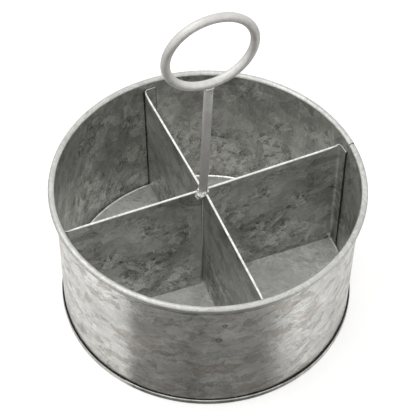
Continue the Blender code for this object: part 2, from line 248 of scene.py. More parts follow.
def swing(tree, value, amount, low=0.3, high=0.7):
    # a change of tone to either side of nothing
    return rangeOf(tree, value, low, high, -amount, amount, False)


def band(tree, value, middle, near, far, strength):
    # full strength close to the middle, fading to nothing on both sides of it
    away = mathOf(tree, "ABSOLUTE", plus(tree, value, -middle))
    return rangeOf(tree, away, near, far, strength, 0)


def crystals(tree, place, scale, solid, edges=False):
    # three random numbers for each crystal, or the distance to the line between two crystals
    cells = addNode(tree, "ShaderNodeTexVoronoi", {"Vector": place, "Scale": scale},
                    voronoi_dimensions="3D" if solid else "2D", feature="DISTANCE_TO_EDGE" if edges else "F1")
    if edges:
        return cells.outputs["Distance"]
    return addNode(tree, "ShaderNodeSeparateColor", {"Color": cells.outputs["Color"]}).outputs


# marks on the wall, in degrees round it and in millimetres
wallMarks = {
    # where each divider's flange lies at the foot and at the top, and the painted shade in the gap along both
    # its sides
    "flanges": ((174.87, 175.85), (88.87, 90.04), (-2.79, -1.42), (263.37, 264.07)), "flangeTop": 110.0,
    "flangeHalf": 4.85, "gapEdges": (0.2, 0.75), "gapTop": (109.0, 110.5), "gapShadeDark": 0.92,
    "gapShadeColour": (0.01, 0.01, 0.009),
    # drip marks: degrees, height and radius of each, and how dark its ring and its middle are
    "drips": ((250.0, 78.0, 2.1), (252.0, 94.3, 1.5)), "dripWall": 110.0, "ringEdges": (0.2, 1.0),
    "ringDark": 0.40, "middleSoft": 0.3, "middleDark": 0.30, "dripColour": (0.13, 0.115, 0.10),
    # painted shade in the crease above the foot seam and in the groove under the rim
    "creaseEdges": (4.4, 4.9), "creaseDark": 0.95, "creaseRagged": 0.8, "groove": 108.0,
    "grooveEdges": (0.2, 0.7), "grooveDark": 0.55, "creaseShadeColour": (0.02, 0.02, 0.018),
}


def flangeGapShade(tree, place, height):
    # painted shade: dark lines on the inside of the wall along both sides of each divider's flange, where
    # shadow falls in the gaps
    across = axisOf(tree, place, "X")
    near, far = wallMarks["gapEdges"]
    low, high = wallMarks["gapTop"]
    half = wallMarks["flangeHalf"] * mm
    masks = []
    for degrees in wallMarks["flanges"]:
        foot, top = (math.radians(angle) * mapRadius * mm for angle in degrees)
        middle = plus(tree, times(tree, height, (top - foot) / (wallMarks["flangeTop"] * mm)), foot)
        aside = mathOf(tree, "ABSOLUTE", mathOf(tree, "SUBTRACT", across, middle))
        masks.append(band(tree, aside, half, near * mm, far * mm, wallMarks["gapShadeDark"]))
    below = rangeOf(tree, height, low * mm, high * mm, 1, 0)
    return mathOf(tree, "MINIMUM", times(tree, plus(tree, *masks), below), wallMarks["gapShadeDark"])


def dripMarks(tree, body):
    # small round marks, each a dark ring with a paler middle
    near, far = wallMarks["ringEdges"]
    wallRadius = wallMarks["dripWall"] * mm
    masks = []
    for degrees, height, radius in wallMarks["drips"]:
        angle = math.radians(degrees)
        place = (wallRadius * math.cos(angle), wallRadius * math.sin(angle), height * mm)
        reach = vectorMath(tree, "DISTANCE", body, place, "Value")
        ring = band(tree, reach, radius * mm, near * mm, far * mm, wallMarks["ringDark"])
        softEnd = (radius + wallMarks["middleSoft"]) * mm
        masks.append(plus(tree, ring, rangeOf(tree, reach, radius * mm, softEnd, wallMarks["middleDark"], 0)))
    return plus(tree, *masks)


# painted shade: darker in the crease above the foot seam, with a ragged edge, and in the groove under the rim
def creaseShadeMask(tree, height, graze):
    low, high = wallMarks["creaseEdges"]
    near, far = wallMarks["grooveEdges"]
    ragged = plus(tree, height, times(tree, graze, wallMarks["creaseRagged"] * mm))
    crease = rangeOf(tree, ragged, low * mm, high * mm, wallMarks["creaseDark"], 0)
    groove = band(tree, height, wallMarks["groove"] * mm, near * mm, far * mm, wallMarks["grooveDark"])
    return plus(tree, crease, groove)


# marks round the foot weld, in metres: a heat tint, and painted shade in the dividers' corner and under the
# weld
heatAndShade = {
    # the patch: its middle, how ragged it is, and where it and its rim end
    "middle": (-0.0045, -0.001, 0.111), "ragged": 0.008, "raggedScale": 120.0,
    "patchEdges": (0.0205, 0.0215), "patch": 0.22, "rimAt": 0.0212, "rimWidth": 0.0010, "rim": 0.40,
    "darkest": 0.85, "patchColour": (0.05, 0.05, 0.047),
    # the corner where the sheets meet: paler round it, and painted shade on the bend and under the weld
    "corner": (-0.0036, 0.0008, 0), "paleEdges": (0.002, 0.014), "pale": 0.48,
    "paleColour": (0.86, 0.86, 0.83), "bendEdges": (0.0007, 0.0010), "bend": 0.5,
    "bendShadeColour": (0.03, 0.03, 0.028),
    "shadeEdges": (0.0016, 0.0042), "shadeFoot": (0.094, 0.105), "shadeTop": (0.1072, 0.1078), "shade": 0.6,
}


def heatTintAndShade(tree, body, height, colour):
    # the weld's heat left a darker patch with a rim, and the sheets are paler where they meet; the dark on
    # the bend and under the weld is painted shade
    reach = vectorMath(tree, "DISTANCE", body, heatAndShade["middle"], "Value")
    reach = plus(tree, reach, times(tree, noiseOf(tree, body, heatAndShade["raggedScale"], detail=3), heatAndShade["ragged"]))
    patch = rangeOf(tree, reach, *heatAndShade["patchEdges"], heatAndShade["patch"], 0)
    rim = band(tree, reach, heatAndShade["rimAt"], 0, heatAndShade["rimWidth"], heatAndShade["rim"])
    flat = vectorMath(tree, "MULTIPLY", body, (1, 1, 0))
    corner = vectorMath(tree, "DISTANCE", flat, heatAndShade["corner"], "Value")
    pale = rangeOf(tree, corner, *heatAndShade["paleEdges"], heatAndShade["pale"], 0)
    colour = blendColours(tree, pale, colour, heatAndShade["paleColour"])
    # painted shade on the bend of the corner and under the weld
    bend = rangeOf(tree, corner, *heatAndShade["bendEdges"], heatAndShade["bend"], 0)
    shade = times(tree, rangeOf(tree, height, *heatAndShade["shadeFoot"], 0, heatAndShade["shade"]),
                  rangeOf(tree, corner, *heatAndShade["shadeEdges"], 1, 0),
                  rangeOf(tree, height, *heatAndShade["shadeTop"], 1, 0))
    colour = blendColours(tree, mathOf(tree, "MAXIMUM", bend, shade), colour, heatAndShade["bendShadeColour"])
    dark = mathOf(tree, "MINIMUM", plus(tree, patch, rim), heatAndShade["darkest"])
    return blendColours(tree, dark, colour, heatAndShade["patchColour"])


# lengths are metres and scales are per metre; a contrast is how far the tone swings to either side
sheetLook = {
    "solid": False, "seed": 0.0, "seedAcross": 0.37, "slant": 0.0, "colour": (0.60, 0.60, 0.575),
    "driftScale": 48.0, "driftDetail": 2.2, "drift": 0.013, "stretch": 1.2,
    "leafScale": 74.0, "leafContrast": 0.19, "chipShrink": 2.6, "chipContrast": 0.34, "turn": 1.2,
    "outline": 0.20, "ridge": 0.12, "ridgeWidth": 0.12, "ridgeShare": (0.2, 0.8),
    "featherLong": 190.0, "featherFine": 520.0, "featherContrast": 0.14, "featherCalm": 0.5,
    "smudgeScale": 48.0, "smudgeFrom": 0.56, "smudgeEdge": 0.035, "smudgeShare": 0.55,
    "smudgeColour": (0.40, 0.38, 0.36), "borderWidth": 0.03, "borderLift": 0.10,
    "busyScale": 30.0, "busyFrom": 0.35, "busyRange": 0.14, "busyFall": -1.6, "busyLeast": 0.3,
    "curlScale": 150.0, "curlStretch": 1.3, "tideStep": 0.05, "tideContrast": 0.20,
    "tideLine": 0.013, "tideLineLift": 1.2,
    "grazeLong": 45.0, "grazeFine": 420.0, "grazeContrast": 0.08, "grainScale": 1300.0, "grainContrast": 0.05,
    "cloudScale": 24.0, "cloudContrast": 0.24, "cloudPull": 0.45,
    "metallic": 1.0, "rough": 0.38, "roughSpread": 0.10, "smudgeRough": 0.08,
    # relief of each kind of mark, and the depth of it all in metres
    "bump": 0.6, "bumpDepth": 0.0002, "featherBump": 0.2, "tideBump": 0.12, "chipBump": 0.14,
    "grazeBump": 0.2, "leafBump": 0.08, "smudgeBump": -0.1, "cloudBump": 0.5,
    "creaseShadeAndDrips": False, "heatTintAndShade": False, "flangeGapShade": False,
    "leftPaintedLight": 0.0, "leftLightEdges": (0.0, 0.055), "footShade": 0.0, "footShadeEdges": (0.105, 0.19),
}


def zincSheet(name, look):
    # hot-dip zinc: feathered crystals, clouds, torn smudges, and curled tide marks where the sheet is busy
    finish, tree, shader = startFinish(name)
    body = addNode(tree, "ShaderNodeTexCoord").outputs["Object"]
    height = axisOf(tree, body, "Z")
    place = body if look["solid"] else addNode(tree, "ShaderNodeUVMap", uv_map="sheet").outputs["UV"]
    moved = addNode(tree, "ShaderNodeMapping", {
        "Vector": place, "Location": (look["seed"], look["seed"] * look["seedAcross"], 0),
        "Rotation": (0, 0, math.radians(look["slant"]))}).outputs["Vector"]
    drift = noiseOf(tree, moved, look["driftScale"], look["driftDetail"], roughness=0.55, output="Color")
    centred = vectorMath(tree, "SUBTRACT", drift, (0.5, 0.5, 0.5))
    pushed = addNode(tree, "ShaderNodeVectorMath", {0: centred, "Scale": look["drift"]}, operation="SCALE")
    swirled = vectorMath(tree, "ADD", moved, pushed.outputs[0])
    drawn = stretched(tree, swirled, 1, look["stretch"])
    cloud = noiseOf(tree, moved, look["cloudScale"], detail=3, roughness=0.5)

    # busy zones, more of them low down where busyFall is below nothing
    busy = noiseOf(tree, moved, look["busyScale"], detail=3, roughness=0.55)
    busy = plus(tree, busy, times(tree, height, look["busyFall"]))
    busy = rangeOf(tree, busy, look["busyFrom"], look["busyFrom"] + look["busyRange"], look["busyLeast"], 1)

    # big crystals and small chips, each with its own tone, and feathering in each crystal's own direction
    chipScale = look["leafScale"] * look["chipShrink"]
    leaf = crystals(tree, drawn, look["leafScale"], look["solid"])
    chip = crystals(tree, drawn, chipScale, look["solid"])
    edge = crystals(tree, drawn, chipScale, look["solid"], True)
    ridge = times(tree, rangeOf(tree, edge, 0, look["ridgeWidth"], 1, 0),
                  rangeOf(tree, chip[1], *look["ridgeShare"], 0, 1))
    turn = rangeOf(tree, leaf[1], 0, 1, -look["turn"], look["turn"], False)
    turned = addNode(tree, "ShaderNodeVectorRotate", {"Vector": swirled, "Angle": turn},
                     rotation_type="Z_AXIS")
    along = stretched(tree, turned.outputs[0], look["featherLong"], look["featherFine"])
    feather = noiseOf(tree, along, 1, detail=4, roughness=0.62)

    # torn smudges with a border of another tone, gathered in the clouds
    tear = noiseOf(tree, drawn, look["smudgeScale"], detail=5, roughness=0.55, distortion=0.3)
    tear = plus(tree, tear, times(tree, cloud, look["cloudPull"]))
    start = look["smudgeFrom"] + look["cloudPull"] / 2
    smudge = rangeOf(tree, tear, start, start + look["smudgeEdge"], 0, 1)
    border = times(tree, rangeOf(tree, tear, start - look["borderWidth"], start, 0, 1),
                   rangeOf(tree, tear, start, start + look["borderWidth"], 1, 0))

    # curled tide marks: bands that follow one another round the same curls, and one light line
    curl = noiseOf(tree, stretched(tree, swirled, 1, look["curlStretch"]), look["curlScale"],
                   detail=3, roughness=0.5, distortion=0.9)
    tide = rangeOf(tree, mathOf(tree, "PINGPONG", curl, look["tideStep"]), 0, look["tideStep"], -1, 1)
    tideLine = band(tree, curl, 0.5, 0, look["tideLine"], 1)

    graze = noiseOf(tree, stretched(tree, swirled, look["grazeLong"], look["grazeFine"]), 1,
                    detail=5, roughness=0.65, distortion=0.5)
    grain = noiseOf(tree, swirled, look["grainScale"], detail=2)

    fine = plus(tree, swing(tree, chip[0], look["chipContrast"], 0, 1),
                swing(tree, feather, look["featherContrast"]), times(tree, tide, look["tideContrast"]),
                times(tree, tideLine, look["tideContrast"] * look["tideLineLift"]),
                times(tree, ridge, look["outline"]))
    tone = plus(tree, 1.0, times(tree, fine, busy), swing(tree, leaf[0], look["leafContrast"], 0, 1),
                swing(tree, graze, look["grazeContrast"]), swing(tree, cloud, look["cloudContrast"]),
                swing(tree, feather, look["featherContrast"] * look["featherCalm"]),
                swing(tree, grain, look["grainContrast"]), times(tree, border, look["borderLift"]))
    if look["leftPaintedLight"]:
        # painted light: the floor is lighter in the two compartments on the left, which lie in the shadow of
        # the left wall
        left = vectorMath(tree, "DOT_PRODUCT", body, (-1, 0, 0), "Value")
        tone = times(tree, tone, rangeOf(tree, left, *look["leftLightEdges"], 1.0, 1.0 + look["leftPaintedLight"]))
    if look["footShade"]:
        # painted shade: the rod is darker toward the weld at its foot, where it reflects the dark inside of
        # the caddy
        tone = times(tree, tone, rangeOf(tree, height, *look["footShadeEdges"], 1.0 - look["footShade"], 1.0))
    gray = addNode(tree, "ShaderNodeCombineColor", {0: tone, 1: tone, 2: tone}).outputs[0]
    clean = blendColours(tree, 1.0, gray, look["colour"], "MULTIPLY")
    stain = blendColours(tree, 1.0, gray, look["smudgeColour"], "MULTIPLY")
    colour = blendColours(tree, times(tree, smudge, look["smudgeShare"]), clean, stain)
    # painted shade in the crease and the groove, then the drip marks
    if look["creaseShadeAndDrips"]:
        colour = blendColours(tree, creaseShadeMask(tree, height, graze), colour, wallMarks["creaseShadeColour"])
        colour = blendColours(tree, dripMarks(tree, body), colour, wallMarks["dripColour"])
    # painted shade in the gaps beside the flanges
    if look["flangeGapShade"]:
        colour = blendColours(tree, flangeGapShade(tree, place, height), colour, wallMarks["gapShadeColour"])
    # the weld's heat tint, with painted shade in the corner and under the weld
    if look["heatTintAndShade"]:
        colour = heatTintAndShade(tree, body, height, colour)
    tree.links.new(colour, shader.inputs["Base Color"])

    rough = plus(tree, times(tree, leaf[2], look["roughSpread"]), times(tree, graze, look["roughSpread"]),
                 times(tree, smudge, look["smudgeRough"]), look["rough"] - look["roughSpread"])
    tree.links.new(rough, shader.inputs["Roughness"])
    shader.inputs["Metallic"].default_value = look["metallic"]

    relief = plus(tree, times(tree, feather, look["featherBump"]), times(tree, tide, look["tideBump"]),
                  times(tree, chip[1], look["chipBump"]), times(tree, ridge, look["ridge"]))
    relief = plus(tree, times(tree, relief, busy), times(tree, graze, look["grazeBump"]),
                  times(tree, leaf[1], look["leafBump"]), times(tree, smudge, look["smudgeBump"]),
                  times(tree, cloud, look["cloudBump"]))
    bump = addNode(tree, "ShaderNodeBump", {"Height": relief, "Strength": look["bump"],
                                            "Distance": look["bumpDepth"]})
    tree.links.new(bump.outputs["Normal"], shader.inputs["Normal"])
    return finish


finishLooks = {
    "outerZinc": {
        "seed": 0.31, "slant": -5, "colour": (0.755, 0.75, 0.72), "smudgeColour": (0.52, 0.475, 0.435),
        "rough": 0.30, "roughSpread": 0.07, "creaseShadeAndDrips": True, "busyFall": 0.0, "busyFrom": 0.40,
        "tideContrast": 0.10, "featherContrast": 0.12, "chipContrast": 0.14, "leafContrast": 0.09,
        "smudgeScale": 62.0, "smudgeFrom": 0.54, "smudgeShare": 0.7, "borderLift": -0.10,
        "cloudContrast": 0.14, "outline": 0.16, "stretch": 1.3, "grazeContrast": 0.12,
    },
    # painted shade: the inner side of the wall sheet is darker than its outer side
    "innerShadedZinc": {
        "seed": 1.73, "slant": 78, "colour": (0.65, 0.65, 0.62), "smudgeColour": (0.49, 0.48, 0.455),
        "turn": 0.7, "flangeGapShade": True, "tideContrast": 0.34, "outline": 0.27, "ridge": 0.2, "bump": 0.85,
    },
    "floorZinc": {
        "seed": 3.1, "slant": 30, "colour": (0.74, 0.74, 0.715), "smudgeColour": (0.66, 0.65, 0.625),
        "rough": 0.6, "metallic": 0.12, "busyFall": 0.0, "busyFrom": 0.42, "tideContrast": 0.08,
        "chipContrast": 0.12, "leafContrast": 0.10, "cloudContrast": 0.16, "outline": 0.12, "ridge": 0.1,
        # painted light on the floor in the two compartments on the left
        "leftPaintedLight": 0.32,
    },
    "dividerZinc": {
        "seed": 5.2, "slant": 8, "colour": (0.49, 0.49, 0.475), "smudgeColour": (0.36, 0.355, 0.34),
        "rough": 0.42, "heatTintAndShade": True, "tideContrast": 0.38, "outline": 0.28, "ridge": 0.2, "bump": 0.85,
    },
}

# small or smooth surfaces, which show no crinkles
plainLooks = {
    # the floor's lip is near white, partly as a painted highlight
    "lipHighlightZinc": {
        "seed": 4.4, "colour": (0.97, 0.97, 0.94), "smudgeShare": 0.0, "rough": 0.24, "roughSpread": 0.05,
        "chipContrast": 0.12, "leafContrast": 0.08, "tideContrast": 0.1, "bump": 0.3, "cloudContrast": 0.1,
    },
    "beadZinc": {
        "seed": 7.7, "colour": (0.60, 0.60, 0.57), "smudgeShare": 0.0, "rough": 0.40, "leafContrast": 0.03,
        "chipContrast": 0.05, "tideContrast": 0.0, "borderLift": 0.0, "cloudContrast": 0.05,
    },
    # painted highlight: the dividers' top edges get a whiter, more matt finish
    "edgeHighlightZinc": {
        "seed": 8.3, "colour": (0.84, 0.84, 0.80), "smudgeShare": 0.0, "leafContrast": 0.04, "metallic": 0.3,
        "chipContrast": 0.10, "rough": 0.45, "tideContrast": 0.0, "borderLift": 0.0, "cloudContrast": 0.06,
    },
    "seamZinc": {
        "seed": 6.1, "colour": (0.63, 0.62, 0.58), "smudgeShare": 0.3, "chipContrast": 0.12,
        "leafContrast": 0.08, "tideContrast": 0.0,
    },
    "rodZinc": {
        # the rod's darker foot is painted shade
        "solid": True, "seed": 9.1, "colour": (0.735, 0.72, 0.70), "smudgeShare": 0.0, "footShade": 0.34,
        "leafContrast": 0.02, "chipContrast": 0.03, "grazeContrast": 0.05, "cloudContrast": 0.05,
        "rough": 0.52, "bump": 0.25, "tideContrast": 0.0, "featherContrast": 0.05, "borderLift": 0.0,
    },
    "weldZinc": {
        "solid": True, "seed": 11.3, "colour": (0.62, 0.62, 0.59), "smudgeShare": 0.7, "leafScale": 600.0,
        "smudgeScale": 420.0, "smudgeColour": (0.22, 0.215, 0.2), "rough": 0.30, "bump": 0.7,
        "leafContrast": 0.12,
    },
    # painted shade: the wire shows only through the rim's slit, and its dark finish stands for the shadow in
    # the slit
    "wireSlitShade": {"solid": True, "seed": 13.0, "colour": (0.10, 0.095, 0.085), "busyFall": -1.6},
}

finishes = {name: zincSheet(name, dict(sheetLook, **look)) for name, look in finishLooks.items()}
plainLook = dict(sheetLook, outline=0.0, ridge=0.0, busyFall=0.0)
for name, look in plainLooks.items():
    finishes[name] = zincSheet(name, dict(plainLook, **look))


# painted shade for gaps and creases: near black with a dusty speckle
gapShadeLook = {
    "scale": 500.0, "dark": (0.006, 0.006, 0.005), "dusty": (0.05, 0.048, 0.043), "dustEdges": (0.4, 0.7),
    "rough": (0.75, 0.95), "roughEdges": (0.3, 0.7),
}


def paintedGapShade(name):
    # painted shade, with a dusty speckle: on top of the foot seam, where the rim's ends meet, and on the
    # flanges' free edges
    finish, tree, shader = startFinish(name)
    body = addNode(tree, "ShaderNodeTexCoord").outputs["Object"]
    dust = noiseOf(tree, body, gapShadeLook["scale"])
    dusty = rangeOf(tree, dust, *gapShadeLook["dustEdges"], 0, 1)
    tree.links.new(blendColours(tree, dusty, gapShadeLook["dark"], gapShadeLook["dusty"]), shader.inputs["Base Color"])
    rough = rangeOf(tree, dust, *gapShadeLook["roughEdges"], *gapShadeLook["rough"])
    tree.links.new(rough, shader.inputs["Roughness"])
    return finish


finishes["gapShade"] = paintedGapShade("gapShade")
print("finishes ready")


wall = {
    "sheet": 0.5, "midRadius": 109.75, "steps": 288, "rowStep": 5.0,
    "beadPath": 112.0, "beadHeight": 116.5, "beadMid": 2.25, "curl": 300, "beadSteps": 32, "beadFrom": 114.55,
    "hookRadius": 110.55, "hookTop": 3.35, "hookEnd": 2.4, "hookMid": 1.45, "hookBend": 0.4, "hookSteps": 8,
    # the groove under the rim, and how far the wall stands out just above it
    "grooveHeight": 108.0, "grooveDepth": 0.07, "grooveHalf": 0.45, "grooveFlat": 0.1, "grooveStep": 0.04,
    # where the bead's two ends meet: the slit, the nick outside and the painted shade; the plain wall stays
    # whole
    "seamDegrees": -4.5, "seamRadius": 114.5, "slit": 0.8, "notch": 1.9, "notchDepth": 1.5, "cutFrom": 114.3,
    "plainTop": 114.2, "plainRadius": 110.5, "tickHalf": 1.24, "tickFrom": 113.0,
    "wave": 0.20, "waveSize": 34.0, "waveRows": (4, 114), "waveFade": 12, "waveRadius": 109.8,
    "waveSquash": 0.8,
    # below this the wall is plain, which is where its outer side is told from its inner side
    "plainWall": 110,
}


def wallAngles():
    # even steps, with extra columns at the edges of the rim's slit and notch
    seam = math.radians(wall["seamDegrees"])
    outer = wall["beadPath"] + wall["beadMid"]
    even = [seam + math.tau * (i + 0.5) / wall["steps"] for i in range(wall["steps"])]
    cuts = [seam + side * width / 2 / outer for side in (-1, 1) for width in (wall["slit"], wall["notch"])]
    return sorted(even + cuts)


def makeWall():
    hookCentre = (wall["midRadius"] + wall["hookBend"], wall["hookMid"])
    profile = [(wall["hookRadius"], wall["hookTop"]), (wall["hookRadius"], wall["hookEnd"])]
    profile += arc(hookCentre, wall["hookBend"], 0, -180, wall["hookSteps"])
    mid, groove, dip = wall["midRadius"], wall["grooveHeight"], wall["grooveDepth"]
    half, flat = wall["grooveHalf"], wall["grooveFlat"]
    profile += evenRun(profile[-1], (mid, groove - half), wall["rowStep"])
    profile += [(mid, groove - half), (mid - dip, groove - flat), (mid - dip, groove + flat)]
    profile.append((mid + wall["grooveStep"], groove + half))
    profile += evenRun(profile[-1], (mid, wall["beadHeight"]), wall["rowStep"])
    beadCentre = (wall["beadPath"], wall["beadHeight"])
    profile += arc(beadCentre, wall["beadMid"], 180, 180 - wall["curl"], wall["beadSteps"])
    seam = math.radians(wall["seamDegrees"])

    def slitOrNotch(angle, low, high):
        aside = abs(turnFrom(seam, angle)) * wall["seamRadius"]
        radius = (low[0] + high[0]) / 2
        if min(low[1], high[1]) < wall["plainTop"] and radius < wall["plainRadius"]:
            return False
        inBead = (low[1] + high[1]) / 2 > wall["cutFrom"]
        if inBead and aside < wall["slit"] / 2:
            return True
        return inBead and aside < wall["notch"] / 2 and radius > wall["seamRadius"] - wall["notchDepth"]

    def waved(radius, height, angle):
        low, high = wall["waveRows"]
        if radius > wall["waveRadius"] or height < low or height > high:
            return radius, height
        fade = min((height - low) / wall["waveFade"], (high - height) / wall["waveFade"], 1)
        spot = Vector((radius * math.cos(angle), radius * math.sin(angle), height * wall["waveSquash"]))
        return radius + wall["wave"] * fade * noise.noise(spot / wall["waveSize"]), height

    shape = bmesh.new()
    turnSheet(shape, profile, wallAngles(), True, slitOrNotch, waved)
    item = meshItem(caddyParts, "wallSheet", shape)
    coat(item, "outerZinc", "innerShadedZinc", "beadZinc", "gapShade")
    faceOutward(item)
    thicken(item, wall["sheet"], 1, 2)
    settle(item)
    for face in item.data.polygons:
        if face.center.z > wall["beadFrom"] * mm:
            # painted shade on the outer half of the bead where its two ends meet
            radius = math.hypot(face.center.x, face.center.y) / mm
            turn = turnFrom(seam, math.atan2(face.center.y, face.center.x))
            inGapShade = abs(turn) * radius < wall["tickHalf"] and radius > wall["tickFrom"]
            face.material_index = 3 if inGapShade else 2
    smoothShade(item, 35)
    return dress(item, "wall_zinc", "side_wall")


def faceOutward(item):
    # normals point away from the axis on the wall
    shape = bmesh.new()
    shape.from_mesh(item.data)
    outward = 0
    for face in shape.faces:
        centre = face.calc_center_median()
        if centre.z < wall["plainWall"] * mm:
            outward += face.normal.dot(Vector((centre.x, centre.y, 0)))
    if outward < 0:
        bmesh.ops.reverse_faces(shape, faces=shape.faces)
    shape.to_mesh(item.data)
    shape.free()


lap = {"radius": 110.27, "low": 4.5, "high": 113.6, "rowStep": 6.0, "width": 8.0, "steps": 8, "sheet": 0.46,
       "edge": 0.12}


def makeWallLap():
    # the wall's outer end, which laps over the other end outside
    seam = math.radians(wall["seamDegrees"])
    foot = (lap["radius"], lap["low"])
    top = (lap["radius"], lap["high"])
    shape = bmesh.new()
    profile = [foot] + evenRun(foot, top, lap["rowStep"]) + [top]
    angles = [seam + lap["width"] / mapRadius * i / lap["steps"] for i in range(lap["steps"] + 1)]
    turnSheet(shape, profile, angles, False)
    item = meshItem(caddyParts, "wallLap", shape)
    coat(item, "outerZinc")
    faceOutward(item)
    thicken(item, lap["sheet"])
    softenEdges(item, lap["edge"])
    settle(item)
    smoothShade(item, 35)
    return dress(item, "wall_zinc", "side_wall")


makeWall()
makeWallLap()
print("side wall made")


pan = {
    "sheet": 0.5, "floorMid": 2.75, "wallRadius": 109.1, "outerRadius": 111.35, "seamBend": 0.5,
    "seamInner": 110.3, "bendSteps": 5,
    "rings": (2.5, 6, 11, 17, 24, 32, 40, 48, 56, 64, 72, 80, 88, 95, 101, 105.5),
    # radius and height of the rounded lip round the floor
    "lip": ((105.9, 2.64), (106.5, 2.50), (106.9, 2.41), (107.2, 2.42), (107.5, 2.50), (107.9, 2.68),
            (108.3, 2.86), (108.6, 2.96), (108.8, 2.98), (108.95, 2.90), (109.07, 2.70), (109.1, 2.4)),
    "lipStart": 107.3, "lipEnd": 109.3,
    # how far out the painted shade on top of the foot seam reaches, at the front and at the sides
    "gapEnds": (110.7, 111.15), "gapSpread": 1.6, "gapLow": 3.5, "frontDegrees": 245.0,
    "seamHeight": 4.15, "steps": 288,
    "wave": 0.09, "waveSize": 30.0, "waveEdge": 106, "waveFade": 15, "waveLevel": 50, "slack": 0.01,
}


def makePan():
    half = pan["sheet"] / 2
    bend = pan["seamBend"]
    outer = pan["outerRadius"] - bend
    profile = [(radius, pan["floorMid"]) for radius in pan["rings"]]
    profile += pan["lip"]
    profile += arc((pan["wallRadius"] + bend, half + bend), bend, 180, 270, pan["bendSteps"])
    profile += arc((outer, half + bend), bend, 270, 360, pan["bendSteps"])
    profile += arc((outer, pan["seamHeight"] - half - bend), bend, 0, 90, pan["bendSteps"])
    profile.append((pan["seamInner"], pan["seamHeight"] - half))

    def waved(radius, height, angle):
        if height < pan["floorMid"] - pan["slack"] or radius > pan["waveEdge"]:
            return radius, height
        fade = min((pan["waveEdge"] - radius) / pan["waveFade"], 1)
        spot = Vector((radius * math.cos(angle), radius * math.sin(angle), pan["waveLevel"]))
        return radius, height + pan["wave"] * fade * (noise.noise(spot / pan["waveSize"]) - 0.5)

    shape = bmesh.new()
    angles = [math.tau * i / pan["steps"] for i in range(pan["steps"])]
    grid = turnSheet(shape, profile, angles, True, None, waved)
    layer = shape.loops.layers.uv["sheet"]
    middle = shape.verts.new((0, 0, pan["floorMid"] - pan["wave"] * 0.5))
    for i in range(len(grid)):
        shape.faces.new((middle, grid[i][0], grid[(i + 1) % len(grid)][0]))
    for face in shape.faces:
        centre = face.calc_center_median()
        radius = math.hypot(centre.x, centre.y)
        if radius > pan["lipStart"]:
            aside = abs(math.sin(math.atan2(centre.y, centre.x) - math.radians(pan["frontDegrees"])))
            frontEnd, sideEnd = pan["gapEnds"]
            gapEnd = frontEnd + (sideEnd - frontEnd) * min(1, aside * pan["gapSpread"])
            inGapShade = radius < gapEnd and centre.z > pan["gapLow"]
            face.material_index = 1 if radius < pan["lipEnd"] else (2 if inGapShade else 3)
        for loop in face.loops:
            loop[layer].uv = (loop.vert.co.x * mm, loop.vert.co.y * mm)
    bmesh.ops.recalc_face_normals(shape, faces=shape.faces)
    item = meshItem(caddyParts, "floorPan", shape)
    coat(item, "floorZinc", "lipHighlightZinc", "gapShade", "seamZinc")
    thicken(item, pan["sheet"])
    settle(item)
    smoothShade(item, 40)
    return dress(item, "floor_zinc", "base_pan")


makePan()
print("floor pan made")


divider = {
    "sheet": 0.5, "top": 109.6, "bottom": 3.3, "flange": 9.0, "flangeBend": 2.6, "cornerBend": 2.4,
    "hemGap": 0.5, "hemDepth": 6.5, "hemSquareness": 0.68,
    # the wall inside, the facets that it has in the CAD, and the gap that the flanges keep from them
    "innerRadius": 109.5, "wallFacets": 64, "wallGap": 0.3,
    "foldSteps": 8, "cornerSteps": 14, "rowStep": 9.0, "runStep": 9.0, "cornerRoom": 8, "flangeMid": 0.4,
    "edge": 0.12, "plainTop": 1.1, "brightDepth": 1.4, "upright": 0.3,
    # the hem grows from the wall corner on: distance, depth and fullness, the first one from where it starts
    "hemStart": 0.3, "hemFirst": (0.6, 1.2, 0.35), "hemMarks": ((7.5, 3.2, 0.6), (11.0, 5.2, 0.85)),
    "hemFull": 15.0, "hemShares": (0.4, 1.0),
    # how far the fold keeps off the sheet where it is shut, where it is open and at its lower edge;
    # a hem no deeper than shallowHem only drops by shallowDrop
    "foldShut": 0.02, "foldOpen": 0.08, "hemShut": 0.03, "shallowHem": 1.3, "shallowDrop": 0.3,
    "wave": 0.20, "waveSize": 26.0, "waveEnd": 109, "waveFade": 20,
}

# how far the second arm's end rises, and degrees and place of each arm's line at the top and at the foot
dividerPlans = {
    "dividerBackLeft": {
        "node": "divider_back_left", "rise": 2.6,
        "top": (178.77, 1.07, 90.85, -2.96), "foot": (176.0, -2.35, 88.9, -4.45),
    },
    "dividerFrontRight": {
        "node": "divider_front_right", "rise": 0.0,
        "top": (-0.23, -2.24, 268.07, 3.12), "foot": (-2.55, -4.05, 267.2, 2.8),
    },
}


def planDirection(degrees):
    return Vector((math.cos(math.radians(degrees)), math.sin(math.radians(degrees))))


def roundedCorner(before, corner, after, radius, steps):
    inward = (before - corner).normalized()
    onward = (after - corner).normalized()
    half = inward.angle(onward) / 2
    centre = corner + (inward + onward).normalized() * (radius / math.sin(half))
    start = corner + inward * (radius / math.tan(half)) - centre
    end = corner + onward * (radius / math.tan(half)) - centre
    sweep = start.angle_signed(end)
    points = []
    for i in range(steps + 1):
        angle = -sweep * i / steps
        x = start.x * math.cos(angle) - start.y * math.sin(angle)
        y = start.x * math.sin(angle) + start.y * math.cos(angle)
        points.append(centre + Vector((x, y)))
    return points


def armEnd(outward, place):
    clockwise = Vector((outward.y, -outward.x))
    reach = divider["innerRadius"] * math.cos(math.pi / divider["wallFacets"]) - divider["wallGap"]
    distance = math.sqrt(reach ** 2 - (place + divider["flange"]) ** 2) - divider["sheet"] / 2
    corner = outward * distance + clockwise * place
    return corner, corner + clockwise * divider["flange"]


def linesMeet(place, along, otherPlace, otherAlong):
    spacing = otherPlace - place
    return place + along * (spacing.cross(otherAlong) / along.cross(otherAlong))


